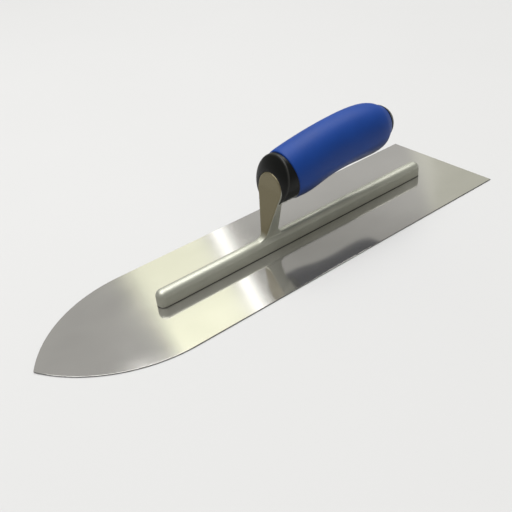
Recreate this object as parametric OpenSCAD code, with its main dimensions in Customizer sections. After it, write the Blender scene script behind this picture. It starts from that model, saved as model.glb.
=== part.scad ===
// Pointed flooring trowel: a thin steel blade riveted to a cast spine and post,
// with a soft grip drawn up against the post by a rod, a washer and a nut.
// The blade lies on z = 0, the nose points along +X, and x = 0 is the middle of the blade.

/* [Blade] */
// Length of the blade from the rear edge to the tip
blade_l = 405; // [395:1:415]
// Width of the blade
blade_w = 110; // [106:1:114]
// Thickness of the sheet
blade_t = 0.8; // [0.7:0.05:1]
// Radius of each side arc of the pointed nose
nose_r = 108; // [95:0.1:130]
// Radius of the blunted tip
tip_r = 1.5; // [0.8:0.1:3]

/* [Spine] */
// Position of the rear end of the spine
spine_rear = -169.5; // [-175:0.5:-150]
// Position of the front end of the spine
spine_front = 105.5; // [95:0.5:115]
// Width of the spine
spine_w = 11; // [10.8:0.1:12]
// Height of the top of the spine above the ground face
spine_top = 13.4; // [12.5:0.1:14]
// Rounding along the top edges of the spine
spine_round = 5.2; // [4.5:0.1:5.3]
// Corner radius at the two ends, seen from above
spine_corner = 5.2; // [4:0.1:5.3]

/* [Post] */
// Front face of the post where its line would meet the ground face
post_front = 10.4; // [8:0.1:12]
// Backward lean of the post, as run over rise
post_lean = 0.27; // [0.2:0.01:0.32]
// Front to back depth of the post
post_depth = 12.3; // [10:0.1:13]
// Half width of the post at its foot, and of its narrow rear edge all the way up
post_foot = 3.2; // [2.6:0.1:4]
// Bevel round the front face of the post
post_bevel = 0.8; // [0.5:0.1:1.2]
// Radius of the round head of the post
head_r = 13.6; // [13:0.1:14.5]
// Height of the centre of the round head
head_z = 51.6; // [50:0.1:53]
// Backward lean of the face of the head, as run over rise
head_lean = 0.1; // [0.05:0.01:0.15]
// Radius of the fillet in front of the post
fillet_front = 4.5; // [3:0.5:6]
// Radius of the fillet behind the post
fillet_rear = 5.5; // [3:0.5:7]
// Radius of the flare at the sides of the foot
flare_r = 4; // [3:0.5:5]

/* [Rivets] */
// Number of rivets along the spine
rivet_count = 8; // [6:1:10]
// Radius of a rivet shank
rivet_r = 2; // [1.5:0.1:2.4]
// Radius of the countersunk head at the ground face
rivet_head_r = 3.2; // [2.8:0.1:4]
// Height of the top of a shank above the ground face
rivet_top = 8; // [6:0.5:9.5]
// Distance from the end of the spine to the first rivet
rivet_inset = 12; // [10:1:16]

/* [Grip] */
// Width of the grip as a share of its height
grip_aspect = 0.92; // [0.85:0.01:1]
// Lean of the seam between the collar and the grip, as run over rise
seam_lean = 0.13; // [0.1:0.01:0.15]
// Rounding of the rim of the grip beside the collar
rim_round = 1; // [0.6:0.1:1.5]

/* [Collar] */
// Height of the centre of the collar
collar_z = 58.6; // [57.5:0.1:59]
// Half width of the collar
collar_ry = 19.2; // [18.5:0.1:19.5]
// Half height of the collar
collar_rz = 19; // [18.6:0.1:20]
// Front face of the collar where its line would meet the ground face
collar_front = 10.8; // [10:0.1:11.5]
// Backward lean of the front face of the collar, as run over rise
collar_lean = 0.3; // [0.28:0.01:0.32]
// Rounding of the front edge of the collar
collar_round = 1.2; // [0.8:0.1:2]
// How far the face of the head stands proud of the collar
head_proud = 0.7; // [0.4:0.1:1]

/* [Core and cap] */
// Radius of the core under the grip
core_r = 12; // [11:0.1:13]
// Height of the ribs that lock the grip to the core
rib_h = 1.2; // [0.8:0.1:1.6]
// Radius of the socket for the nut at the rear of the core
socket_r = 8.5; // [8:0.1:9]
// Depth of the socket for the nut
socket_depth = 14; // [13:0.5:16]
// Radius of the rim of the end cap
cap_r = 13.6; // [13.4:0.1:14]
// Height of the dome of the end cap
cap_h = 9.1; // [8:0.1:10]

/* [Rod and nut] */
// Radius of the rod
rod_r = 3; // [3:3]
// Height of the rod's axis above the middle of the blade
rod_z = 55.5; // [55:0.1:56]
// Upward tilt of the rod towards the rear, in degrees
rod_tilt = 5; // [4.5:0.1:5.5]
// Distance along the rod's axis from x = 0 to its front end
rod_start = 6.8; // [6.5:0.1:7.5]
// Outer radius of the washer
washer_r = 7; // [6.5:0.1:7.5]
// Thickness of the washer
washer_t = 1.6; // [1.2:0.1:2]
// Width of the nut across its flats
nut_flats = 10; // [10:10]
// Thickness of the nut
nut_t = 5; // [5:5]

/* [Hidden] */
$fn = 96;

// The grip seen from the side: distance from x = 0, height of its underside, height of its top
GRIP_LINE = [[-18, 38.2, 79], [-27, 38.2, 80.8], [-36, 39.3, 82.4], [-54, 43, 85.2], [-72, 44.8, 87],
             [-90, 44.8, 87.8], [-105, 45, 86.9], [-114, 46.6, 84.8], [-119.5, 49.9, 82.1],
             [-123.3, 53.2, 80]];
steps = 5;             // rings between two points of the grip's side view
segments = 64;         // points round a ring
rod_gap = 0.2;         // clearance round the rod
bury = 1;              // how far a shape is sunk into the one it joins
seat = 14;             // distance of the flat rear face of the head behind x = 0
bend_rise = 0.9;       // height of the bend in the post's face above the centre of the head
bend_soft = 0.6;       // softness of that bend
flare_w = 2;           // spread of the flare at each side of the foot
fade = 3;              // length over which a fillet's edges die out on the round spine
foot_inset = 0.3;      // how far the shank draws in where the spine hides it
shank_steps = 12;      // rings up the tapering part of the post
head_steps = 8;        // points up the front of the head
dish_rise = 5;         // centre of the collar's dished middle above the centre of the head
dish_rz = 11;          // half height of that middle
rib_at = [35, 60, 85, 106];   // places of the ribs along the core
rib_w = 4;             // width of a rib
spigot_r = 7;          // locating spigot between collar and core
spigot_l = 4;
cap_spigot_l = 5.5;    // hollow spigot of the cap, in the core's socket
cap_wall = 1.9;
cap_skin = 1;          // solid left between the spigot's hollow and the dome
rear_aspect = 0.99;    // width of the grip as a share of its height at the cap
rear_round = 0.6;      // rounding of the grip's rear rim
rod_past_nut = 2.8;    // thread showing behind the nut
past = 3;              // how far a cutting shape runs past what it cuts
far = 60;              // reach of a cutting shape past anything it cuts

tip_x = blade_l / 2;
nose_drop = nose_r - blade_w / 2;
nose_tip_l = sqrt(pow(nose_r - tip_r, 2) - pow(nose_drop, 2));
nose_x = tip_x - tip_r - nose_tip_l;
tip_angle = atan2(nose_drop, nose_tip_l);
rivet_pitch = (spine_front - spine_rear - 2 * rivet_inset) / (rivet_count - 1);
grip_rear = GRIP_LINE[len(GRIP_LINE) - 1];
grip_end = -grip_rear[0] / cos(rod_tilt);   // along the rod's axis
socket_floor = grip_end - socket_depth;
rod_end = socket_floor + washer_t + nut_t + rod_past_nut;
dome_r = (pow(cap_r, 2) + pow(cap_h, 2)) / (2 * cap_h);
seam_x = GRIP_LINE[0][0];
seam_z = (GRIP_LINE[0][1] + GRIP_LINE[0][2]) / 2;
foot_z = spine_top - spine_round - bury;
bend_z = head_z + bend_rise;
head_face = post_front - (post_lean - head_lean) * bend_z;
post_rear = post_front - post_depth;
reach = norm([post_foot, head_z - spine_top]);
shoulder_angle = acos(head_r / reach) - atan2(head_z - spine_top, post_foot);
shoulder_y = head_r * cos(shoulder_angle);
shoulder_z = head_z + head_r * sin(shoulder_angle);

// ---- outlines ----

module blade_outline() {
    // the small tip circle touches both side arcs at this x
    tangent_x = nose_x + nose_r * cos(tip_angle);
    translate([-blade_l / 2, -blade_w / 2])
        square([nose_x + blade_l / 2, blade_w]);
    intersection() {
        translate([nose_x, -nose_drop]) circle(nose_r, $fn = 240);
        translate([nose_x, nose_drop]) circle(nose_r, $fn = 240);
        translate([nose_x, -blade_w / 2]) square([tangent_x - nose_x, blade_w]);
    }
    translate([tip_x - tip_r, 0]) circle(tip_r);
}

// A square whose upper two corners are round
module round_top(width, height, r) {
    translate([-width / 2, 0]) square([width, height - r]);
    translate([-width / 2 + r, 0]) square([width - 2 * r, height]);
    for (side = [-1, 1])
        translate([side * (width / 2 - r), height - r]) circle(r);
}

// Fillet between the top of the spine and one leaning face of the post, in the plane of X and Z.
// The face is the line x = at - post_lean * z, and side is 1 in front of the post or -1 behind it.
module foot_fillet(at, side, r) {
    tilt = atan(post_lean);
    centre_z = spine_top + r;
    centre_x = at - post_lean * centre_z + side * r / cos(tilt);
    difference() {
        polygon([[at - post_lean * (spine_top - bury), spine_top - bury],
                 [centre_x + side * fade, spine_top - bury],
                 [centre_x, spine_top],
                 [centre_x, centre_z],
                 [centre_x - side * r * cos(tilt), centre_z - side * r * sin(tilt)]]);
        translate([centre_x, centre_z]) circle(r);
    }
}

// Front face of the post: its lean eases from that of the shank to that of the head
function face_x(z) =
    let (shank = post_front - post_lean * z, head = head_face - head_lean * z)
    (shank + head + norm([shank - head, bend_soft])) / 2;

// Half width of the front face below the shoulders of the head
function shank_half(z) =
    post_foot + (shoulder_y - post_foot) * (z - spine_top) / (shoulder_z - spine_top);

module head_side() {
    top_z = head_z + head_r + bury;
    front = [for (i = [0 : head_steps])
        let (z = shoulder_z + (top_z - shoulder_z) * i / head_steps) [face_x(z), z]];
    polygon(concat(front, [[-seat, top_z], [-seat, shoulder_z]]));
}

module foot_side() {
    foot_fillet(post_front, 1, fillet_front);
    foot_fillet(post_rear, -1, fillet_rear);
    polygon([[post_front - post_lean * foot_z, foot_z],
             [post_front - post_lean * (spine_top + bury), spine_top + bury],
             [post_rear - post_lean * (spine_top + bury), spine_top + bury],
             [post_rear - post_lean * foot_z, foot_z]]);
}

module foot_front_view() {
    height = spine_top - foot_z;
    translate([-post_foot, foot_z]) square([2 * post_foot, height + fillet_rear]);
    for (side = [-1, 1])
        difference() {
            translate([side * (post_foot + flare_w / 2), foot_z + height / 2])
                square([flare_w, height], center = true);
            translate([side * (post_foot + flare_r), spine_top]) circle(flare_r);
        }
}

// ---- solids shared by more than one piece ----

module along_x(length) {
    rotate([90, 0, 90]) linear_extrude(length, center = true) children();
}

module along_y(length) {
    rotate([90, 0, 0]) linear_extrude(length, center = true) children();
}

// The shank: wide at its front face and narrow at its rear edge
module shank() {
    b = post_bevel;
    levels = [for (i = [0 : shank_steps]) foot_z + (shoulder_z - foot_z) * i / shank_steps];
    loft([for (z = levels)
        let (front = face_x(z), rear = max(post_rear - post_lean * z, -seat),
             w = max(shank_half(z), post_foot - foot_inset))
        [[front, -w + b, z], [front - b, -w, z], [rear, -post_foot, z],
         [rear, post_foot, z], [front - b, w, z], [front, w - b, z]]]);
}

module head() {
    intersection() {
        along_y(2 * (head_r + bury)) head_side();
        along_x(far) translate([0, head_z]) circle(head_r);
    }
}

module post() {
    shank();
    head();
    intersection() {
        along_y(2 * head_r) foot_side();
        along_x(far) foot_front_view();
    }
}

module spine() {
    length = spine_front - spine_rear;
    height = spine_top - blade_t;
    translate([(spine_front + spine_rear) / 2, 0, blade_t])
        intersection() {
            along_x(length) round_top(spine_w, height, spine_round);
            along_y(spine_w) round_top(length, height, spine_round);
            linear_extrude(height) round_corners(length, spine_w, spine_corner);
        }
}

// A rectangle with round corners
module round_corners(length, width, r) {
    square([length - 2 * r, width], center = true);
    square([length, width - 2 * r], center = true);
    for (x = [-1, 1], y = [-1, 1])
        translate([x * (length / 2 - r), y * (width / 2 - r)]) circle(r);
}

// Places its children on the rod's axis, with +Z running back along the rod
module on_rod(at = 0) {
    translate([0, 0, rod_z]) rotate([0, rod_tilt - 90, 0]) translate([0, 0, at]) children();
}

module rivet_at() {
    for (i = [0 : rivet_count - 1])
        translate([spine_rear + rivet_inset + i * rivet_pitch, 0, 0]) children();
}

module rivet() {
    cylinder(r1 = rivet_head_r, r2 = rivet_r, h = blade_t);
    cylinder(r = rivet_r, h = rivet_top);
}

// The outside of the core, before its ends are trimmed
module core_form() {
    on_rod() {
        cylinder(r = core_r, h = grip_end + past);
        for (at = rib_at)
            translate([0, 0, at]) cylinder(r = core_r + rib_h, h = rib_w);
    }
}

// Everything behind the leaning seam between the collar and the grip
module behind_seam() {
    translate([seam_x, 0, seam_z]) rotate([0, atan(seam_lean), 0])
        translate([-4 * far, -far, -far]) cube([4 * far, 2 * far, 2 * far]);
}

// ---- lofted skins ----

// One ring of a loft: a leaning ellipse between two heights
function ring(x, low, high, aspect, lean) =
    let (mid = (low + high) / 2, rz = (high - low) / 2)
    [for (i = [0 : segments - 1])
        let (z = rz * sin(360 * i / segments))
        [x + lean * z, aspect * rz * cos(360 * i / segments), mid + z]];

module loft(rings) {
    n = len(rings[0]);
    last = len(rings) - 1;
    points = [for (r = rings) each r];
    sides = [for (k = [0 : last - 1], i = [0 : n - 1])
                let (j = (i + 1) % n)
                each [[k * n + i, k * n + j, (k + 1) * n + j],
                      [k * n + i, (k + 1) * n + j, (k + 1) * n + i]]];
    front = [for (i = [n - 1 : -1 : 0]) i];
    back = [for (i = [0 : n - 1]) last * n + i];
    polyhedron(points, concat(sides, [front], [back]), convexity = 4);
}

// Point t of the smooth curve from point i to point i + 1 of a list
function smooth_point(list, i, t) =
    let (p0 = list[max(i - 1, 0)], p1 = list[i],
         p2 = list[i + 1], p3 = list[min(i + 2, len(list) - 1)])
    (2 * p1 + (p2 - p0) * t + (2 * p0 - 5 * p1 + 4 * p2 - p3) * t * t
        + (3 * p1 - p0 - 3 * p2 + p3) * t * t * t) / 2;

function grip_curve() =
    [for (i = [0 : len(GRIP_LINE) - 2], j = [0 : steps - 1]) smooth_point(GRIP_LINE, i, j / steps),
     GRIP_LINE[len(GRIP_LINE) - 1]];

// The lean of the grip's rings fades from the seam's to none at the cap,
// and its section grows round towards the cap
function grip_ring(p, inset) =
    let (share = (p[0] - seam_x) / (grip_rear[0] - seam_x))
    ring(p[0], p[1] + inset, p[2] - inset,
         grip_aspect + (rear_aspect - grip_aspect) * pow(share, 4), seam_lean * (1 - share));

module grip_skin() {
    curve = grip_curve();
    first = curve[0];
    final = curve[len(curve) - 1];
    front_rim = [for (a = [0 : 30 : 60])
        grip_ring(first - [rim_round * (1 - cos(a)), 0, 0], rim_round * (1 - sin(a)))];
    body = [for (k = [1 : len(curve) - 2]) grip_ring(curve[k], 0)];
    rear_rim = [for (a = [60 : -30 : 0])
        grip_ring(final + [rear_round * (1 - cos(a)), 0, 0], rear_round * (1 - sin(a)))];
    loft(concat(front_rim, body, rear_rim));
}

// The front of the collar is a shallow dome that meets the head of the post near its face
module collar_skin() {
    low = collar_z - collar_rz;
    high = collar_z + collar_rz;
    aspect = collar_ry / collar_rz;
    face_z = head_z + dish_rise;
    inner = ring(head_face - head_proud - head_lean * face_z, face_z - dish_rz, face_z + dish_rz,
                 (head_r + bury) / dish_rz, -head_lean);
    rim_x = collar_front - collar_lean * collar_z;
    back_x = seam_x + seam_lean * (collar_z - seam_z);
    rounded = [for (a = [15 : 15 : 90])
        let (inset = collar_round * (1 - sin(a)))
        ring(rim_x - collar_round * (1 - cos(a)), low + inset, high - inset, aspect, -collar_lean)];
    loft(concat([inner], rounded, [ring(back_x, low, high, aspect, seam_lean)]));
}

// ---- pieces ----

module blade() {
    color("silver") difference() {
        linear_extrude(blade_t) blade_outline();
        rivet_at() rivet();
    }
}

module mounting() {
    color("darkgray") difference() {
        union() {
            spine();
            post();
        }
        rivet_at() rivet();
        on_rod(rod_start) cylinder(r = rod_r, h = far / 2);
    }
}

module blade_rivets() {
    color("gray") rivet_at() rivet();
}

module front_collar() {
    color([0.10, 0.11, 0.10]) difference() {
        union() {
            collar_skin();
            intersection() {
                on_rod(-seam_x - past) cylinder(r = spigot_r, h = past + spigot_l);
                translate([-far, -far / 2, 0]) cube([far - seat, far, 2 * far]);
            }
        }
        post();
        on_rod() cylinder(r = rod_r + rod_gap, h = far);
    }
}

module tang_rod() {
    color("lightgray") on_rod(rod_start) cylinder(r = rod_r, h = rod_end - rod_start);
}

module handle_core() {
    color([0.12, 0.12, 0.12]) difference() {
        intersection() {
            core_form();
            behind_seam();
            translate([grip_rear[0], -far, 0]) cube(2 * far);
        }
        on_rod() cylinder(r = rod_r + rod_gap, h = grip_end + past);
        on_rod() cylinder(r = spigot_r, h = spigot_l - seam_x);
        on_rod(socket_floor) cylinder(r = socket_r, h = socket_depth + past);
    }
}

module grip_sleeve() {
    color([0.14, 0.27, 0.62]) difference() {
        grip_skin();
        core_form();
    }
}

module washer() {
    color("lightgray") on_rod(socket_floor) difference() {
        cylinder(r = washer_r, h = washer_t);
        translate([0, 0, -past]) cylinder(r = rod_r + rod_gap, h = washer_t + 2 * past);
    }
}

module nut() {
    color("lightgray") on_rod(socket_floor + washer_t) difference() {
        cylinder(r = nut_flats / sqrt(3), h = nut_t, $fn = 6);
        translate([0, 0, -past]) cylinder(r = rod_r, h = nut_t + 2 * past);
    }
}

module end_cap() {
    color([0.10, 0.11, 0.10]) {
        translate([grip_rear[0], 0, (grip_rear[1] + grip_rear[2]) / 2]) rotate([0, -90, 0])
            intersection() {
                translate([0, 0, cap_h - dome_r]) sphere(dome_r);
                cylinder(r = dome_r, h = dome_r);
            }
        difference() {
            on_rod(grip_end - cap_spigot_l) cylinder(r = socket_r, h = cap_spigot_l + past);
            on_rod(grip_end - cap_spigot_l - past)
                cylinder(r = socket_r - cap_wall, h = cap_spigot_l + past - cap_skin);
        }
    }
}

blade();
mounting();
blade_rivets();
front_collar();
tang_rod();
handle_core();
grip_sleeve();
washer();
nut();
end_cap();
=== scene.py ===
from math import acos, atan, atan2, cos, pi, radians, sin, sqrt, tan

import bmesh
import bpy
from bpy.props import FloatProperty, FloatVectorProperty, IntProperty, PointerProperty
from bpy.types import Operator, Panel, PropertyGroup
from mathutils import Matrix, Vector


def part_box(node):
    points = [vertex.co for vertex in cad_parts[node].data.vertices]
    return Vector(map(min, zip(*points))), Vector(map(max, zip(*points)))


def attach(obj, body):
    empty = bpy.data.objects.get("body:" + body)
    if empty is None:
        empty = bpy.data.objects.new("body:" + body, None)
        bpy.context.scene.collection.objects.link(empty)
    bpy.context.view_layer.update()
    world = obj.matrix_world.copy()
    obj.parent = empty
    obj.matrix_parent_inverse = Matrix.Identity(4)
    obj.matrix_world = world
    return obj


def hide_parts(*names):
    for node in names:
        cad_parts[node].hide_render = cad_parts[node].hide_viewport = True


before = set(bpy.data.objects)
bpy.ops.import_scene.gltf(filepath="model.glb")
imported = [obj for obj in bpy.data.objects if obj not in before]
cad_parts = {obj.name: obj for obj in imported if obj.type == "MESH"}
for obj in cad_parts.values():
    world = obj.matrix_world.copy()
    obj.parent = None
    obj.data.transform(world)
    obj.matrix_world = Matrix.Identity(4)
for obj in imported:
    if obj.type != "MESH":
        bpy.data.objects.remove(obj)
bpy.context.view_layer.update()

bl_info = {
    "name": "Pointed flooring trowel",
    "version": (1, 0, 0),
    "blender": (4, 5, 0),
    "location": "3D View > Sidebar > Trowel",
    "description": "Builds a pointed flooring trowel and its finishes round the packed frame",
    "category": "Add Mesh",
}

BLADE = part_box("blade")
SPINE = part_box("mounting")
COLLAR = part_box("front_collar")
MM = 0.001
RING_POINTS = 96        # points round a turned piece
HAIR = 0.00025          # width of the gap that shows between two pieces that meet

# Lines that the CAD source also uses, in metres. A line x = at + lean * z is (at, lean).
POST_FRONT = (0.0104, -0.27)
POST_DEPTH = 0.0123
POST_HALF = 0.0032
HEAD_FACE = (0.001475, -0.1)
HEAD_RADIUS = 0.0136
HEAD_HEIGHT = 0.0516
BEND_HEIGHT = 0.0525
SEAT = -0.014           # flat rear of the post's head
ROD_HEIGHT = 0.0555     # height of the rod's axis above the middle of the blade
ROD_TILT = radians(5)
CORE_RADIUS = 0.012
RIB_HEIGHT = 0.0012
RIB_WIDTH = 0.004
RIBS = (0.106, 0.085, 0.060, 0.035)     # places of the core's ribs, from the rear
SEAM_LEAN = 0.13        # of the seam between the collar and the grip
COLLAR_HEIGHT = 0.0586  # middle of the collar
COLLAR_FRONT = (0.0108, -0.3)
COLLAR_HALF = 0.0190    # half of the collar's own height
HEAD_PROUD = 0.0007     # how far the head's face stands out of the collar
FILLET_FRONT = 0.0045
FILLET_REAR = 0.0055
FLARE = 0.004           # radius of the flare at the sides of the post's foot
FLARE_DEEPEST = 0.0038  # the flare stops just short of a full quarter turn
GRIP_LINE = [           # side view of the grip: x, underside, top
    (-0.018, 0.0382, 0.0790), (-0.027, 0.0382, 0.0808), (-0.036, 0.0393, 0.0824),
    (-0.054, 0.0430, 0.0852), (-0.072, 0.0448, 0.0870), (-0.090, 0.0448, 0.0878),
    (-0.105, 0.0450, 0.0869), (-0.114, 0.0466, 0.0848), (-0.1195, 0.0499, 0.0821),
    (-0.1233, 0.0532, 0.0800),
]


# ---- sizes and colours that a user would change ----

class TrowelBladeSizes(PropertyGroup):
    nose_radius: FloatProperty(
        name="Nose radius", description="Radius of each side arc of the pointed nose",
        default=0.108, min=0.06, max=0.3, unit="LENGTH", subtype="DISTANCE")
    tip_radius: FloatProperty(
        name="Tip radius", description="Radius of the blunted tip",
        default=0.0015, min=0.0005, max=0.01, unit="LENGTH", subtype="DISTANCE")
    edge_break: FloatProperty(
        name="Edge break", description="Width of the small bevel round the sheet's edges",
        default=0.00012, min=0.00005, max=0.0003, unit="LENGTH", subtype="DISTANCE")
    steel: FloatVectorProperty(
        name="Steel", description="Colour of the blade's stainless steel",
        default=(0.66, 0.65, 0.62), min=0, max=1, size=3, subtype="COLOR")


class TrowelCastingSizes(PropertyGroup):
    spine_width: FloatProperty(
        name="Spine width", description="Width of the spine along the blade",
        default=0.011, min=0.008, max=0.02, unit="LENGTH", subtype="DISTANCE")
    spine_height: FloatProperty(
        name="Spine height", description="Height of the spine's top above the ground face",
        default=0.0134, min=0.01, max=0.016, unit="LENGTH", subtype="DISTANCE")
    spine_round: FloatProperty(
        name="Spine rounding", description="Rounding along the top edges of the spine",
        default=0.0052, min=0.002, max=0.0053, unit="LENGTH", subtype="DISTANCE")
    grain: FloatProperty(
        name="Casting detail",
        description="Side of the cells that the casting's skin is rebuilt from",
        default=0.00055, min=0.0003, max=0.002, unit="LENGTH", subtype="DISTANCE")
    metal: FloatVectorProperty(
        name="Cast metal", description="Colour of the cast aluminium",
        default=(0.45, 0.455, 0.39), min=0, max=1, size=3, subtype="COLOR")


class TrowelHandleSizes(PropertyGroup):
    section: FloatProperty(
        name="Grip section", description="Width of the grip as a share of its height at the collar",
        default=0.92, min=0.8, max=1.0, subtype="FACTOR")
    lip: FloatProperty(
        name="Grip lip", description="Rounding of the grip's rim beside the collar",
        default=0.001, min=0.0003, max=0.002, unit="LENGTH", subtype="DISTANCE")
    steps: IntProperty(
        name="Grip rings", description="Rings between two points of the grip's side view",
        default=5, min=2, max=12)
    rubber: FloatVectorProperty(
        name="Grip rubber", description="Colour of the soft grip",
        default=(0.004, 0.043, 0.240), min=0, max=1, size=3, subtype="COLOR")
    plastic: FloatVectorProperty(
        name="Black plastic", description="Colour of the collar, the core and the end cap",
        default=(0.0025, 0.0030, 0.0025), min=0, max=1, size=3, subtype="COLOR")


class TrowelStageSettings(PropertyGroup):
    floor: FloatVectorProperty(
        name="Floor", description="Colour of the pale floor",
        default=(0.58, 0.58, 0.577), min=0, max=1, size=3, subtype="COLOR")
    room: FloatProperty(
        name="Room light", description="Brightness of the plain grey room",
        default=0.34, min=0, max=2)
    lens: FloatProperty(
        name="Lens", description="Focal length of the camera in millimetres",
        default=51.29, min=20, max=200)


# ---- modelling helpers ----

def clear_selection():
    """Leave edit mode with nothing selected."""
    if bpy.context.mode != "OBJECT":
        bpy.ops.object.mode_set(mode="OBJECT")
    bpy.ops.object.select_all(action="DESELECT")


def begin(name):
    """Name the primitive just added, put its place into its mesh and open it for editing."""
    piece = bpy.context.object
    piece.name = piece.data.name = name
    bpy.ops.object.transform_apply(location=True, rotation=True, scale=True)
    bpy.ops.object.mode_set(mode="EDIT")
    return piece


def pick(piece, kind, wanted):
    """Select the vertices, edges or faces that wanted() accepts, and nothing else."""
    modes = {"verts": "VERT", "edges": "EDGE", "faces": "FACE"}
    bpy.context.tool_settings.mesh_select_mode = [kind == k for k in modes]
    form = bmesh.from_edit_mesh(piece.data)
    form.select_mode = {modes[kind]}
    for part in (form.verts, form.edges, form.faces):
        for element in part:
            element.select = False
    for element in getattr(form, kind):
        if wanted(element):
            element.select_set(True)
    form.select_flush_mode()
    bmesh.update_edit_mesh(piece.data)


def near(a, b, slack=0.00002):
    return abs(a - b) < slack


def ends(edge):
    return [v.co for v in edge.verts]


def only(piece):
    """Make the piece the one selected and active object."""
    clear_selection()
    piece.select_set(True)
    bpy.context.view_layer.objects.active = piece


def close_up(piece, angle=None):
    """Merge doubles, turn the faces outwards and smooth the shading."""
    bpy.ops.mesh.select_all(action="SELECT")
    bpy.ops.mesh.remove_doubles(threshold=0.000005)
    bpy.ops.mesh.normals_make_consistent(inside=False)
    bpy.ops.object.mode_set(mode="OBJECT")
    only(piece)
    if angle is not None:
        bpy.ops.object.shade_smooth_by_angle(angle=angle)
    return piece


def apply_modifier(piece, kind, **settings):
    """Add one modifier and apply it at once."""
    only(piece)
    modifier = piece.modifiers.new(kind.title(), kind)
    for key, value in settings.items():
        setattr(modifier, key, value)
    bpy.ops.object.modifier_apply(modifier=modifier.name)


def join(pieces):
    """Join pieces into the first one."""
    only(pieces[0])
    for piece in pieces:
        piece.select_set(True)
    bpy.ops.object.join()
    return pieces[0]


def cut_away(piece, cutter):
    """Cut one closed shape out of a piece and throw the cutter away."""
    apply_modifier(piece, "BOOLEAN", operation="DIFFERENCE", object=cutter, solver="EXACT")
    bpy.data.objects.remove(cutter)


def finish_piece(piece, material, slot, *nodes):
    """Give a finished piece its finish, its body and the CAD nodes it stands for; the slot is not
    used.
    """
    piece.data.materials.clear()
    piece.data.materials.append(material)
    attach(piece, "root")
    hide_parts(*nodes)
    clear_selection()
    return {"FINISHED"}


# ---- rings: a ring is (x, height, half height, half width, lean) ----

def oval(x, low, high, aspect, lean):
    """A leaning ring between two heights."""
    half = (high - low) / 2
    return x, (low + high) / 2, half, aspect * half, lean


def on_rod(distance, radius):
    """A round ring square to the rod, this far behind x = 0 along the rod's axis."""
    return (-distance * cos(ROD_TILT), ROD_HEIGHT + distance * sin(ROD_TILT),
            radius * cos(ROD_TILT), radius, tan(ROD_TILT))


def upright(lean):
    """A lean that is never quite nothing, so that one ring can be scaled into the next."""
    return lean if abs(lean) > 0.0001 else 0.0001


def loft(name, rings, closed_ends=True, pole=False):
    """Draw the first ring, then extrude, scale and move it into each of the others."""
    clear_selection()
    x, z, high, wide, lean = rings[0]
    lean = upright(lean)
    bpy.ops.mesh.primitive_circle_add(
        vertices=RING_POINTS, radius=1, fill_type="NGON" if closed_ends else "NOTHING",
        location=(x, 0, z), rotation=(0, atan(lean) - pi / 2, 0))
    piece = begin(name)
    bpy.ops.mesh.select_all(action="SELECT")
    slope = sqrt(1 + lean * lean)
    bpy.ops.transform.resize(value=(high * slope, wide, high * slope), center_override=(x, 0, z))
    for new in rings[1:]:
        move = {"value": (new[0] - x, 0, new[1] - z)}
        if closed_ends:
            bpy.ops.mesh.extrude_region_move(TRANSFORM_OT_translate=move)
        else:
            bpy.ops.mesh.extrude_edges_move(TRANSFORM_OT_translate=move)
        tip = upright(new[4])
        bpy.ops.transform.resize(
            value=(tip * new[2] / (lean * high), new[3] / wide, new[2] / high),
            center_override=(new[0], 0, new[1]))
        x, z, high, wide = new[:4]
        lean = tip
    if pole:
        bpy.ops.mesh.merge(type="CENTER")
    if not closed_ends:
        pick(piece, "edges", lambda e: e.is_boundary)
        bpy.ops.mesh.bridge_edge_loops()
    return piece


# ---- finishes ----

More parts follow.
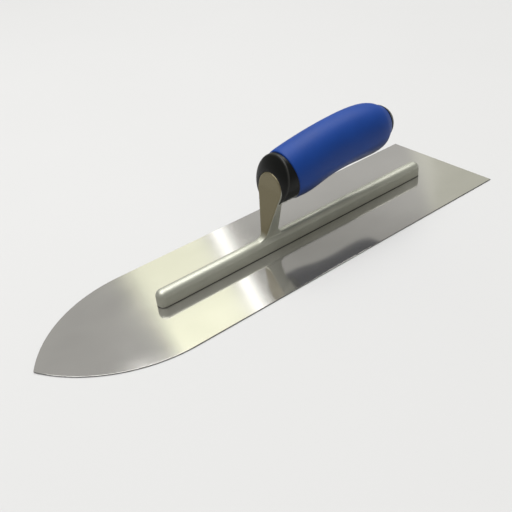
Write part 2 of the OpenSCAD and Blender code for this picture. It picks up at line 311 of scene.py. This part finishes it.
class Finish:
    """A material under construction, with short ways to add and join its nodes."""

    def __init__(self, name):
        self.material = bpy.data.materials.new(name)
        self.material.use_nodes = True
        self.tree = self.material.node_tree
        self.shader = self.tree.nodes.get("Principled BSDF")
        if self.shader is None:
            self.shader = self.tree.nodes.new("ShaderNodeBsdfPrincipled")
            out = self.tree.nodes.new("ShaderNodeOutputMaterial")
            self.join(self.shader.outputs[0], out.inputs["Surface"])
        self.place = self.tree.nodes.new("ShaderNodeTexCoord").outputs["Object"]

    def join(self, a, b):
        self.tree.links.new(a, b)

    def set(self, **values):
        for key, value in values.items():
            self.shader.inputs[key.replace("_", " ")].default_value = value

    def stretched(self, scale):
        """Object coordinates scaled by axis."""
        node = self.tree.nodes.new("ShaderNodeMapping")
        node.inputs["Scale"].default_value = scale
        self.join(self.place, node.inputs["Vector"])
        return node.outputs["Vector"]

    def along(self, direction):
        """How far each point lies along a direction."""
        node = self.tree.nodes.new("ShaderNodeVectorMath")
        node.operation = "DOT_PRODUCT"
        node.inputs[1].default_value = direction
        self.join(self.place, node.inputs[0])
        return node.outputs["Value"]

    def product(self, first, second):
        node = self.tree.nodes.new("ShaderNodeMath")
        node.operation = "MULTIPLY"
        self.join(first, node.inputs[0])
        self.join(second, node.inputs[1])
        return node.outputs["Value"]

    def noise(self, place, scale, detail=2.0, roughness=0.5):
        node = self.tree.nodes.new("ShaderNodeTexNoise")
        node.inputs["Scale"].default_value = scale
        node.inputs["Detail"].default_value = detail
        node.inputs["Roughness"].default_value = roughness
        self.join(place, node.inputs["Vector"])
        return node.outputs["Fac"]

    def cells(self, place, scale):
        node = self.tree.nodes.new("ShaderNodeTexVoronoi")
        node.inputs["Scale"].default_value = scale
        self.join(place, node.inputs["Vector"])
        return node.outputs["Distance"]

    def spread(self, value, low, high, from_low=0.3, from_high=0.7):
        """Map a pattern's middle range onto another range."""
        node = self.tree.nodes.new("ShaderNodeMapRange")
        node.inputs["From Min"].default_value = from_low
        node.inputs["From Max"].default_value = from_high
        node.inputs["To Min"].default_value = low
        node.inputs["To Max"].default_value = high
        self.join(value, node.inputs["Value"])
        return node.outputs["Result"]

    def blend(self, share, first, second):
        """Mix two colours by a pattern."""
        node = self.tree.nodes.new("ShaderNodeMix")
        node.data_type = "RGBA"
        self.join(share, node.inputs["Factor"])
        for socket, colour in ((node.inputs["A"], first), (node.inputs["B"], second)):
            if isinstance(colour, bpy.types.NodeSocket):
                self.join(colour, socket)
            else:
                socket.default_value = (*colour, 1)
        return node.outputs["Result"]

    def bump(self, height, distance, strength=1.0, under=None):
        node = self.tree.nodes.new("ShaderNodeBump")
        node.inputs["Distance"].default_value = distance
        node.inputs["Strength"].default_value = strength
        self.join(height, node.inputs["Height"])
        if under is not None:
            self.join(under, node.inputs["Normal"])
        return node.outputs["Normal"]


def tinted(colour, factor):
    return tuple(min(1.0, channel * factor) for channel in colour)


def sheet_steel(colour):
    """Rolled and lightly brushed stainless sheet, close to a mirror."""
    f = Finish("rolled_stainless")
    f.set(Metallic=0.91)
    across = f.noise(f.stretched((900, 45, 45)), 1.0, 3.0, 0.6)
    clouds = f.noise(f.stretched((14, 20, 20)), 1.0, 3.0)
    grain = f.noise(f.place, 900, 2.0)
    colour_node = f.blend(f.spread(clouds, 0, 1), tinted(colour, 0.95), tinted(colour, 1.03))
    f.join(colour_node, f.shader.inputs["Base Color"])
    f.join(f.spread(clouds, 0.08, 0.12), f.shader.inputs["Roughness"])
    first = f.bump(across, 0.0000012)
    f.join(f.bump(grain, 0.0000010, under=first), f.shader.inputs["Normal"])
    return f.material


def sheared_edge(colour):
    """The narrow edge left all round the sheet by the shears: its dullness is real, its dark colour
    is painted shade.
    """
    f = Finish("sheared_edge")
    f.set(Metallic=0.9)
    streaks = f.noise(f.stretched((400, 400, 4000)), 1.0, 2.0)
    # painted shade: the edge is painted far darker than the sheet's steel
    f.join(f.blend(f.spread(streaks, 0, 1), tinted(colour, 0.18), tinted(colour, 0.28)),
           f.shader.inputs["Base Color"])
    f.join(f.spread(streaks, 0.45, 0.6), f.shader.inputs["Roughness"])
    return f.material


def cast_metal(colour):
    """Satin cast aluminium with a fine sandy skin."""
    f = Finish("cast_aluminium")
    f.set(Metallic=0.8)
    clouds = f.noise(f.place, 60, 3.0)
    sand = f.noise(f.place, 2600, 2.0)
    pits = f.noise(f.place, 700, 3.0)
    skin = f.blend(f.spread(clouds, 0, 1), tinted(colour, 0.94), tinted(colour, 1.05))
    # painted shade: the front face of the post and of its head is painted darker and browner than
    # the tumbled skin, standing in for the shade on that face
    front = f.spread(f.along((1, 0, -POST_FRONT[1])), 0, 1,
                     POST_FRONT[0] - 0.0004, POST_FRONT[0] - 0.0001)
    above = f.spread(f.along((0, 0, 1)), 0, 1, 0.0135, 0.0185)
    face = f.product(front, above)
    # painted shade: the darker, browner colour painted on the post's front face for its shade
    ground = (0.46 * colour[0], 0.40 * colour[1], 0.29 * colour[2])
    # and painted shade darkens the corner between the spine and the blade
    # painted shade: below this height the base colour drops to a quarter of the metal's
    unshaded_share = f.spread(f.along((0, 0, 1)), 0, 1, 0.0009, 0.0019)
    metal = f.blend(face, skin, ground)
    f.join(f.blend(unshaded_share, tinted(colour, 0.25), metal), f.shader.inputs["Base Color"])
    f.join(f.spread(pits, 0.44, 0.52), f.shader.inputs["Roughness"])
    first = f.bump(pits, 0.00003, 0.4)
    f.join(f.bump(sand, 0.00002, 0.4, under=first), f.shader.inputs["Normal"])
    return f.material


def black_plastic(colour):
    """Moulded black plastic with a low satin gloss."""
    f = Finish("moulded_black")
    f.set(Specular_IOR_Level=0.2)
    grain = f.noise(f.place, 1400, 3.0)
    clouds = f.noise(f.place, 40, 2.0)
    skin = f.blend(f.spread(clouds, 0, 1), tinted(colour, 0.85), tinted(colour, 1.3))
    # painted highlight: a paler band is painted along the collar's front rim
    place = f.along((1, 0, -COLLAR_FRONT[1]))
    rim_highlight = f.product(f.spread(place, 0, 1, 0.0096, 0.0103),
                       f.spread(place, 1, 0, 0.0103, 0.0110))
    f.join(f.blend(rim_highlight, skin, (0.036, 0.036, 0.033)), f.shader.inputs["Base Color"])
    f.join(f.spread(grain, 0.28, 0.38), f.shader.inputs["Roughness"])
    f.join(f.bump(grain, 0.00002, 0.35), f.shader.inputs["Normal"])
    return f.material


def soft_rubber(colour):
    """Matt blue rubber with a fine orange-peel grain."""
    f = Finish("soft_blue_rubber")
    f.set(Specular_IOR_Level=0.25)
    grain = f.noise(f.place, 1100, 2.0)
    wear = f.noise(f.place, 28, 3.0)
    skin = f.blend(f.spread(wear, 0, 1), tinted(colour, 0.92), tinted(colour, 1.10))
    # painted shade: the underside is painted dark, for the shade under the grip
    unshaded_share = f.spread(f.along((0.1, 0, 1)), 0, 1, 0.039, 0.052)
    f.join(f.blend(unshaded_share, (0.010, 0.014, 0.035), skin), f.shader.inputs["Base Color"])
    f.join(f.spread(wear, 0.46, 0.54), f.shader.inputs["Roughness"])
    f.join(f.bump(grain, 0.00004, 0.35), f.shader.inputs["Normal"])
    return f.material


def plated_steel():
    """Zinc plate with faint turning marks, for the rod, the washer and the nut."""
    f = Finish("zinc_plate")
    f.set(Metallic=1.0)
    patches = f.cells(f.place, 500)
    fine = f.noise(f.stretched((2500, 300, 300)), 1.0, 2.0)
    f.join(f.blend(f.spread(patches, 0, 1, 0.1, 0.8), (0.55, 0.57, 0.58), (0.70, 0.70, 0.66)),
           f.shader.inputs["Base Color"])
    f.join(f.spread(fine, 0.22, 0.34), f.shader.inputs["Roughness"])
    f.join(f.bump(fine, 0.000005), f.shader.inputs["Normal"])
    return f.material


def ground_rivets():
    """Rivet heads ground flush with the sheet, a little duller than it."""
    f = Finish("ground_rivet")
    f.set(Metallic=1.0)
    lines = f.noise(f.stretched((1800, 90, 90)), 1.0, 2.0)
    f.join(f.blend(f.spread(lines, 0, 1), (0.50, 0.50, 0.49), (0.62, 0.61, 0.59)),
           f.shader.inputs["Base Color"])
    f.join(f.spread(lines, 0.16, 0.26), f.shader.inputs["Roughness"])
    f.join(f.bump(lines, 0.000002), f.shader.inputs["Normal"])
    return f.material


# ---- pieces ----

class TROWEL_OT_blade(Operator):
    """Cut the pointed blade from thin sheet and countersink it for its rivets"""
    bl_idname = "trowel.blade"
    bl_label = "Blade"

    def execute(self, context):
        sizes = context.scene.trowel_blade
        low, high = BLADE
        half = high.y
        drop = sizes.nose_radius - half
        tip_x = high.x - sizes.tip_radius
        run = sqrt((sizes.nose_radius - sizes.tip_radius) ** 2 - drop ** 2)
        nose_x = tip_x - run
        tip_angle = atan2(drop, run)

        clear_selection()
        bpy.ops.mesh.primitive_plane_add(
            size=1, location=((low.x + nose_x) / 2, 0, 0))
        bpy.context.object.scale = (nose_x - low.x, 2 * half, 1)
        sheet = begin("trowel_blade")
        bpy.ops.mesh.select_all(action="SELECT")
        bpy.ops.mesh.delete(type="ONLY_FACE")
        pick(sheet, "edges", lambda e: all(near(v.x, nose_x) for v in ends(e)))
        bpy.ops.mesh.delete(type="EDGE")
        # the three arcs of the nose, spun one after another from the left corner
        pick(sheet, "verts", lambda v: near(v.co.x, nose_x) and v.co.y > 0)
        for centre, sweep, steps in (
                ((nose_x, -drop, 0), pi / 2 - tip_angle, 72),
                ((tip_x, 0, 0), 2 * tip_angle, 12),
                ((nose_x, drop, 0), pi / 2 - tip_angle, 72)):
            bpy.ops.mesh.spin(steps=steps, angle=sweep, center=centre, axis=(0, 0, 1))
        bpy.ops.mesh.select_all(action="SELECT")
        bpy.ops.mesh.remove_doubles(threshold=0.00001)
        bpy.ops.mesh.select_all(action="SELECT")
        bpy.ops.mesh.edge_face_add()
        bpy.ops.mesh.extrude_region_move(TRANSFORM_OT_translate={"value": (0, 0, high.z)})
        bpy.ops.mesh.select_all(action="SELECT")
        bpy.ops.mesh.normals_make_consistent(inside=False)
        pick(sheet, "edges", lambda e: near(e.verts[0].co.z, e.verts[1].co.z)
             and abs(e.link_faces[0].normal.z - e.link_faces[1].normal.z) > 0.5)
        bpy.ops.mesh.bevel(offset=sizes.edge_break, segments=2, affect="EDGES")
        close_up(sheet)
        self.countersink(sheet)
        only(sheet)
        bpy.ops.object.shade_smooth_by_angle(angle=radians(12))
        finish_piece(sheet, sheet_steel(sizes.steel), "stainless", "blade")
        # the sheet's side faces get the edge finish, with its painted shade
        sheet.data.materials.append(sheared_edge(sizes.steel))
        # the walls of the holes stay bright: they all lie near the middle line
        hole_zone = (0.12, 0.01)
        for face in sheet.data.polygons:
            rim = abs(face.center.y) > hole_zone[1] or abs(face.center.x) > hole_zone[0]
            if abs(face.normal.z) < 0.9 and rim:
                face.material_index = 1
        return {"FINISHED"}

    def countersink(self, sheet):
        """Cut the eight countersunk holes, from one cone modelled once and copied."""
        count = 8
        slope = 1.2 * MM        # how much narrower the hole is at the top of the sheet
        play = 0.00002          # the gap round a rivet
        past = 0.0005           # how far the cutter runs out of the sheet
        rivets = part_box("blade_rivets")
        head = (rivets[1].y - rivets[0].y) / 2
        first = rivets[0].x + head
        pitch = (rivets[1].x - rivets[0].x - 2 * head) / (count - 1)
        thick = BLADE[1].z
        clear_selection()
        bpy.ops.mesh.primitive_cone_add(
            vertices=48, radius1=head + play, radius2=head - slope + play,
            depth=thick, location=(first, 0, thick / 2))
        cone = begin("countersink")
        pick(cone, "faces", lambda f: f.normal.z < -0.9)
        bpy.ops.mesh.extrude_region_move(TRANSFORM_OT_translate={"value": (0, 0, -past)})
        pick(cone, "faces", lambda f: f.normal.z > 0.9)
        bpy.ops.mesh.extrude_region_move(TRANSFORM_OT_translate={"value": (0, 0, past)})
        close_up(cone)
        cutters = [cone]
        for number in range(1, count):
            copy = cone.copy()
            copy.data = cone.data.copy()
            copy.data.transform(Matrix.Translation((number * pitch, 0, 0)))
            bpy.context.collection.objects.link(copy)
            cutters.append(copy)
        cut_away(sheet, join(cutters))


def post_section(height):
    """Front and rear of the post's foot at this height, with its fillets."""
    top = bpy.context.scene.trowel_casting.spine_height
    front = POST_FRONT[0] + POST_FRONT[1] * height
    rear = front - POST_DEPTH

    def flare(radius):
        rise = min(max(top + radius - height, 0), radius)
        return radius - sqrt(radius ** 2 - rise ** 2)

    drop = min(max(top - height, 0), FLARE_DEEPEST)
    side = FLARE - sqrt(FLARE ** 2 - drop ** 2)
    return front + flare(FILLET_FRONT), rear - flare(FILLET_REAR), side


def shank_half(height, top, shoulder, wide):
    """Half width of the post's front face between its foot and the shoulders of its head."""
    return POST_HALF + (wide - POST_HALF) * (max(height, top) - top) / (shoulder - top)


def shoulders():
    """Height and half width of the point where the shank's side meets the round head."""
    top = bpy.context.scene.trowel_casting.spine_height
    rise = HEAD_HEIGHT - top
    reach = sqrt(POST_HALF ** 2 + rise ** 2)
    angle = acos(HEAD_RADIUS / reach) - atan2(rise, POST_HALF)
    return HEAD_HEIGHT + HEAD_RADIUS * sin(angle), HEAD_RADIUS * cos(angle)


def post_shank(grow=0.0):
    """The tapering shank, wide in front and narrow behind, with its flared foot."""
    top = bpy.context.scene.trowel_casting.spine_height
    start = top + FILLET_REAR
    shoulder, wide = shoulders()
    front = POST_FRONT[0] + POST_FRONT[1] * start + grow
    rear = front - POST_DEPTH - 2 * grow
    half = POST_HALF + grow
    clear_selection()
    bpy.ops.mesh.primitive_cube_add(
        size=1, location=((front + rear) / 2, 0, (start + shoulder) / 2),
        scale=(front - rear, 2 * half, shoulder - start))
    shank = begin("post_shank")
    for level in (start, shoulder):
        pick(shank, "verts", lambda v: near(v.co.x, front) and near(v.co.z, level))
        share = (shank_half(level, top, shoulder, wide) + grow) / half
        bpy.ops.transform.resize(value=(1, share, 1), center_override=(0, 0, level))
    pick(shank, "verts", lambda v: near(v.co.z, shoulder))
    bpy.ops.transform.translate(value=(POST_FRONT[1] * (shoulder - start), 0, 0))
    pick(shank, "edges", lambda e: abs(e.verts[0].co.z - e.verts[1].co.z) > 0.01)
    bpy.ops.mesh.subdivide(number_cuts=11)
    pick(shank, "edges", lambda e: abs(e.verts[0].co.z - e.verts[1].co.z) > 0.0005 and all(
        near(v.x, front + POST_FRONT[1] * (v.z - start), 0.0001) and abs(v.y) > half - 0.0001
        for v in ends(e)))
    bpy.ops.mesh.bevel(offset=0.0009, segments=3, affect="EDGES")
    # the foot spreads in fillets before and behind, and at the sides below the spine's top
    level = start
    now_front, now_rear, side_now = front, rear, 0.0
    for drop in (1.7, 3.0, 4.0, 4.8, 5.3, 5.5, 6.7, 7.8, 8.8, 9.3):
        new = start - drop * MM
        new_front, new_rear, side = post_section(new)
        new_front, new_rear = new_front + grow, new_rear - grow
        pick(shank, "faces", lambda f: near(f.calc_center_median().z, level) and f.normal.z < -0.9)
        middle = (new_front + new_rear) / 2
        bpy.ops.mesh.extrude_region_move(TRANSFORM_OT_translate={
            "value": (middle - (now_front + now_rear) / 2, 0, new - level)})
        bpy.ops.transform.resize(
            value=((new_front - new_rear) / (now_front - now_rear),
                   (half + side) / (half + side_now), 1),
            center_override=(middle, 0, new))
        narrow = ((shank_half(new, top, shoulder, wide) + grow)
                  / (shank_half(level, top, shoulder, wide) + grow))
        pick(shank, "verts", lambda v: near(v.co.z, new) and v.co.x > middle)
        bpy.ops.transform.resize(value=(1, narrow, 1), center_override=(middle, 0, new))
        level, now_front, now_rear, side_now = new, new_front, new_rear, side
    return close_up(shank)


def post_head(grow=0.0):
    """The round head at the top of the post, its face bent a little where the lean changes."""
    front = 0.004
    clear_selection()
    bpy.ops.mesh.primitive_cylinder_add(
        vertices=128, radius=HEAD_RADIUS + grow, depth=front - SEAT,
        location=((front + SEAT) / 2, 0, HEAD_HEIGHT), rotation=(0, pi / 2, 0))
    head = begin("post_head")
    bend = Vector((HEAD_FACE[0] + HEAD_FACE[1] * BEND_HEIGHT + grow, 0, BEND_HEIGHT))
    bpy.ops.mesh.select_all(action="SELECT")
    bpy.ops.mesh.bisect(plane_co=bend, plane_no=(1, 0, -HEAD_FACE[1]),
                        use_fill=True, clear_outer=True)
    bpy.ops.mesh.select_all(action="SELECT")
    bpy.ops.mesh.bisect(plane_co=bend, plane_no=(0, 0, 1))
    pick(head, "verts", lambda v: v.co.z < BEND_HEIGHT - 0.00001 and near(
        v.co.x, bend.x + HEAD_FACE[1] * (v.co.z - bend.z), 0.0001))
    bpy.ops.transform.resize(value=(POST_FRONT[1] / HEAD_FACE[1], 1, 1), center_override=bend)
    if not grow:
        pick(head, "edges", lambda e: len(e.link_faces) == 2
             and all(v.x > SEAT + 0.001 for v in ends(e))
             and min(f.normal.x for f in e.link_faces) < 0.3
             and max(f.normal.x for f in e.link_faces) > 0.3)
        bpy.ops.mesh.bevel(offset=0.0008, segments=3, affect="EDGES")
    return close_up(head)


class TROWEL_OT_casting(Operator):
    """Model the cast spine and post as one casting with soft fillets"""
    bl_idname = "trowel.casting"
    bl_label = "Spine and post"

    def execute(self, context):
        sizes = context.scene.trowel_casting
        casting = join([self.spine(sizes), post_shank(), post_head()])
        casting.name = casting.data.name = "trowel_casting"
        apply_modifier(casting, "REMESH", mode="VOXEL", voxel_size=sizes.grain,
                       use_smooth_shade=True)
        apply_modifier(casting, "SMOOTH", factor=0.5, iterations=3)
        # the fillets round the post's foot are smoothed further, in an egg-shaped region
        foot = casting.vertex_groups.new(name="foot")
        centre_x, centre_z = 0.0008, sizes.spine_height
        reach_x, reach_y, reach_z = 0.016, 0.009, 0.007
        for v in casting.data.vertices:
            away = Vector(((v.co.x - centre_x) / reach_x, v.co.y / reach_y,
                           (v.co.z - centre_z) / reach_z)).length
            if away < 1:
                foot.add([v.index], min(1.0, 1.6 * (1 - away)), "REPLACE")
        apply_modifier(casting, "SMOOTH", factor=0.5, iterations=10, vertex_group="foot")
        casting.vertex_groups.clear()
        only(casting)
        bpy.ops.object.shade_smooth()
        return finish_piece(casting, cast_metal(sizes.metal), "casting", "mounting")

    def spine(self, sizes):
        low, high = SPINE
        floor, top, half = low.z, sizes.spine_height, sizes.spine_width / 2
        clear_selection()
        bpy.ops.mesh.primitive_cube_add(
            size=1, location=((low.x + high.x) / 2, 0, (floor + top) / 2),
            scale=(high.x - low.x, 2 * half, top - floor))
        spine = begin("spine")
        pick(spine, "edges", lambda e: abs(e.verts[0].co.z - e.verts[1].co.z) > 0.005)
        bpy.ops.mesh.bevel(offset=sizes.spine_round + 0.0001, segments=14, affect="EDGES")
        pick(spine, "edges", lambda e: all(near(v.z, top) for v in ends(e)))
        bpy.ops.mesh.bevel(offset=sizes.spine_round, segments=14, affect="EDGES")
        return close_up(spine)


class TROWEL_OT_collar(Operator):
    """Model the black collar with its pocket for the head of the post"""
    bl_idname = "trowel.collar"
    bl_label = "Front collar"

    def execute(self, context):
        half = COLLAR[1].y
        middle, tall = COLLAR_HEIGHT, COLLAR_HALF
        rim_x = COLLAR_FRONT[0] + COLLAR_FRONT[1] * middle
        seam = GRIP_LINE[0][0] + SEAM_LEAN * (middle - sum(GRIP_LINE[0][1:]) / 2)
        # the dished middle of the front, a little behind the face of the head
        dish = HEAD_HEIGHT + 0.005
        rings = [(HEAD_FACE[0] - HEAD_PROUD + HEAD_FACE[1] * dish,
                  dish, 0.011, HEAD_RADIUS + 0.001, HEAD_FACE[1])]
        edge = 0.0012
        for angle in (15, 30, 45, 60, 75, 90):
            inset = edge * (1 - sin(radians(angle)))
            rings.append((rim_x - edge * (1 - cos(radians(angle))), middle,
                          tall - inset, half - inset, COLLAR_FRONT[1]))
        back = 0.0006
        rings.append((seam + back, middle, tall, half, 0.12))
        rings.append((seam, middle, tall - back, half - back, SEAM_LEAN))
        spigot, spigot_length = 0.007, 0.004
        rings.append(on_rod(-seam / cos(ROD_TILT), spigot))
        rings.append(on_rod(-seam / cos(ROD_TILT) + spigot_length, spigot))
        collar = close_up(loft("trowel_front_collar", rings))
        for cutter in (post_shank(HAIR), post_head(HAIR)):
            cut_away(collar, cutter)
        bore_radius = 0.0032
        bore = close_up(loft("bore", [on_rod(at, bore_radius) for at in (0.001, 0.02, 0.035)]))
        cut_away(collar, bore)
        only(collar)
        bpy.ops.object.shade_smooth_by_angle(angle=radians(32))
        return finish_piece(collar, black_plastic(context.scene.trowel_handle.plastic),
                            "black_plastic", "front_collar")


def curve_point(i, t):
    """Point t of the smooth line from point i to point i + 1 of the grip's side view."""
    last = len(GRIP_LINE) - 1
    a, b, c, d = (Vector(GRIP_LINE[min(max(k, 0), last)]) for k in (i - 1, i, i + 1, i + 2))
    return (2 * b + (c - a) * t + (2 * a - 5 * b + 4 * c - d) * t ** 2
            + (3 * b - a - 3 * c + d) * t ** 3) / 2


class TROWEL_OT_grip(Operator):
    """Model the soft blue grip as one lofted skin with a bore for the core"""
    bl_idname = "trowel.grip"
    bl_label = "Grip"

    def execute(self, context):
        sizes = context.scene.trowel_handle
        start, final = Vector(GRIP_LINE[0]), Vector(GRIP_LINE[-1])
        length = final.x - start.x
        rear_section = 0.99     # nearly round at the cap

        def section(point, inset):
            share = min((point.x - start.x) / length, 1)
            return oval(point.x, point.y + inset, point.z - inset,
                        sizes.section + (rear_section - sizes.section) * share ** 4,
                        SEAM_LEAN * (1 - share))

        rings = []
        for angle in (0, 18, 36, 54, 72):
            turn = radians(angle)
            rings.append(section(start - Vector((sizes.lip * (1 - cos(turn)), 0, 0)),
                                 sizes.lip * (1 - sin(turn))))
        for i in range(len(GRIP_LINE) - 1):
            for j in range(sizes.steps):
                if i or j:
                    rings.append(section(curve_point(i, j / sizes.steps), 0))
        rear = 0.0006
        for angle in (72, 45, 20, 0):
            turn = radians(angle)
            rings.append(section(final + Vector((rear * (1 - cos(turn)), 0, 0)),
                                 rear * (1 - sin(turn))))
        # back through the bore, which follows the ribs of the core
        rings.append(on_rod(-final.x / cos(ROD_TILT), CORE_RADIUS))
        for rib in RIBS:
            behind = rib + RIB_WIDTH
            for at, proud in ((behind, 0), (behind, RIB_HEIGHT), (rib, RIB_HEIGHT), (rib, 0)):
                rings.append(on_rod(at, CORE_RADIUS + proud))
        rings.append((start.x, ROD_HEIGHT - start.x * tan(ROD_TILT),
                      CORE_RADIUS, CORE_RADIUS, SEAM_LEAN))
        sleeve = close_up(loft("trowel_grip", rings, closed_ends=False), radians(40))
        return finish_piece(sleeve, soft_rubber(sizes.rubber), "blue_rubber", "grip_sleeve")


class TROWEL_OT_end_cap(Operator):
    """Model the domed end cap with its hollow spigot"""
    bl_idname = "trowel.end_cap"
    bl_label = "End cap"

    def execute(self, context):
        low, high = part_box("end_cap")
        face = GRIP_LINE[-1][0]
        rim = (high.y - low.y) / 2
        middle = sum(GRIP_LINE[-1][1:]) / 2
        dome = face - low.x
        ball = (rim ** 2 + dome ** 2) / (2 * dome)
        end = -face / cos(ROD_TILT)
        inner, outer, spigot = 0.0066, 0.0085, 0.0055   # radii and length of the hollow spigot
        rings = [on_rod(end - 0.001, inner), on_rod(end - spigot, inner),
                 on_rod(end - spigot, outer), on_rod(end - 0.0002, outer)]
        lip = 0.0004
        rings += [(face + 0.0001, middle, rim - 1.5 * lip, rim - 1.5 * lip, 0),
                  (face, middle, rim - lip, rim - lip, 0),
                  (face - 0.2 * lip, middle, rim - 0.2 * lip, rim - 0.2 * lip, 0),
                  (face - lip, middle, rim, rim, 0)]
        start = atan2(rim, ball - dome)
        for step in range(1, 16):
            angle = start * (1 - step / 16)
            x = face - ball * cos(angle) + (ball - dome)
            rings.append((min(x, face - lip), middle, ball * sin(angle), ball * sin(angle), 0))
        rings.append((low.x, middle, 0.00001, 0.00001, 0))
        cap = close_up(loft("trowel_end_cap", rings, pole=True), radians(35))
        return finish_piece(cap, black_plastic(context.scene.trowel_handle.plastic),
                            "black_plastic", "end_cap")


class TROWEL_OT_hardware(Operator):
    """Give the rivets, the rod, the core, the washer and the nut their finishes"""
    bl_idname = "trowel.hardware"
    bl_label = "Rivets, rod and core"

    def execute(self, context):
        plate = plated_steel()
        finishes = {
            "blade_rivets": ground_rivets(),
            "tang_rod": plate, "washer": plate, "nut": plate,
            "handle_core": black_plastic(context.scene.trowel_handle.plastic),
        }
        for node, material in finishes.items():
            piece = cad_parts[node]
            piece.data.materials.clear()
            piece.data.materials.append(material)
        return {"FINISHED"}


# ---- stage ----

def soft_light(name, azimuth, elevation, distance, size, power, colour, roll=0.0,
               target=(0, 0, 0.03)):
    """A rectangular light on a dome round the trowel, facing its middle and turned by its roll."""
    a, e = radians(azimuth), radians(elevation)
    back = Vector((cos(a) * cos(e), sin(a) * cos(e), sin(e)))
    data = bpy.data.lights.new(name, "AREA")
    data.shape = "RECTANGLE"
    data.size, data.size_y = size
    data.energy, data.color = power, colour
    light = bpy.data.objects.new(name, data)
    bpy.context.collection.objects.link(light)
    light.location = Vector(target) + distance * back
    light.rotation_mode = "QUATERNION"
    light.rotation_quaternion = ((-back).to_track_quat("-Z", "Y")
                                 @ Matrix.Rotation(radians(roll), 3, "Z").to_quaternion())
    light.visible_camera = False
    return light


def radiance(size, value):
    """The power that gives an area light this brightness when looked at."""
    return value * pi * size[0] * size[1]


class TROWEL_OT_stage(Operator):
    """Lay the pale floor, hang the soft lights and set the camera"""
    bl_idname = "trowel.stage"
    bl_label = "Floor, lights and camera"

    def execute(self, context):
        settings = context.scene.trowel_stage
        clear_selection()
        bpy.ops.mesh.primitive_plane_add(size=14, location=(0, 0, -0.0002))
        floor = context.object
        floor.name = floor.data.name = "floor"
        paint = Finish("floor_paint")
        mottle = paint.noise(paint.place, 3.0, 3.0)
        paint.join(paint.blend(paint.spread(mottle, 0, 1), tinted(settings.floor, 0.985),
                               tinted(settings.floor, 1.0)), paint.shader.inputs["Base Color"])
        paint.set(Roughness=0.9, Specular_IOR_Level=0.1)
        floor.data.materials.append(paint.material)

        room = bpy.data.worlds.new("room")
        context.scene.world = room
        room.use_nodes = True
        room.node_tree.nodes["Background"].inputs["Color"].default_value = (1.0, 0.985, 0.95, 1)
        room.node_tree.nodes["Background"].inputs["Strength"].default_value = settings.room
        context.scene.view_settings.view_transform = "Standard"

        warm, white = (0.98, 1.0, 0.72), (1.0, 1.0, 1.0)
        for name, azimuth, elevation, distance, size, value, colour, roll in (
                ("overhead", -40, 79, 2.6, (2.2, 2.2), 4.6, white, 0),
                ("rear_softbox", -141, 55, 6.0, (5.0, 1.9), 4.8, white, 0),
                ("low_fill", -128, 22, 12.0, (5.2, 3.8), 0.17, white, 0),
                ("nose_fill", -103.5, 36, 12.0, (2.9, 6.0), 0.07, white, 22),
                ("warm_softbox", -118.4, 36, 12.0, (1.34, 6.0), 0.85, warm, 22),
                ("warm_upper", -121.3, 43, 12.0, (1.34, 3.0), 0.20, warm, 22),
                ("warm_edge", -113.7, 36, 12.0, (0.30, 6.0), 0.42, warm, 22),
                ("warm_corner", -145, 27, 12.0, (1.6, 2.2), 0.25, warm, 22),
                ("window_strip", -123.9, 36, 12.0, (0.186, 6.0), 2.6, white, 22)):
            soft_light(name, azimuth, elevation, distance, size,
                       radiance(size, value), colour, roll)

        camera_data = bpy.data.cameras.new("camera")
        camera_data.lens = settings.lens
        camera_data.sensor_width = 36
        camera_data.clip_start, camera_data.clip_end = 0.01, 50
        camera = bpy.data.objects.new("camera", camera_data)
        context.collection.objects.link(camera)
        place = Vector((0.28691, 0.38848, 0.31348))
        aim = Vector((0.03194, 0.02375, 0.02))
        tilt = Matrix.Rotation(radians(-6.42), 3, "Z").to_quaternion()
        turn = (aim - place).to_track_quat("-Z", "Y") @ tilt
        camera.location = place
        camera.rotation_mode = "QUATERNION"
        camera.rotation_quaternion = turn
        context.scene.camera = camera
        return {"FINISHED"}


OPERATORS = (TROWEL_OT_blade, TROWEL_OT_casting, TROWEL_OT_collar, TROWEL_OT_grip,
             TROWEL_OT_end_cap, TROWEL_OT_hardware, TROWEL_OT_stage)
SETTINGS = {
    "trowel_blade": TrowelBladeSizes,
    "trowel_casting": TrowelCastingSizes,
    "trowel_handle": TrowelHandleSizes,
    "trowel_stage": TrowelStageSettings,
}


class TROWEL_PT_panel(Panel):
    """Lists the trowel's pieces and the sizes and colours of each"""
    bl_label = "Pointed flooring trowel"
    bl_idname = "TROWEL_PT_panel"
    bl_space_type = "VIEW_3D"
    bl_region_type = "UI"
    bl_category = "Trowel"

    def draw(self, context):
        for operator in OPERATORS:
            self.layout.operator(operator.bl_idname)
        for name, group in SETTINGS.items():
            box = self.layout.box()
            for prop in group.__annotations__:
                box.prop(getattr(context.scene, name), prop)


def register():
    for item in (*SETTINGS.values(), *OPERATORS, TROWEL_PT_panel):
        bpy.utils.register_class(item)
    for name, group in SETTINGS.items():
        setattr(bpy.types.Scene, name, PointerProperty(type=group))


def unregister():
    for name in SETTINGS:
        delattr(bpy.types.Scene, name)
    for item in (TROWEL_PT_panel, *reversed(OPERATORS), *SETTINGS.values()):
        bpy.utils.unregister_class(item)


def main():
    register()
    for operator in OPERATORS:
        group, name = operator.bl_idname.split(".")
        getattr(getattr(bpy.ops, group), name)()


if __name__ == "__main__":
    main()
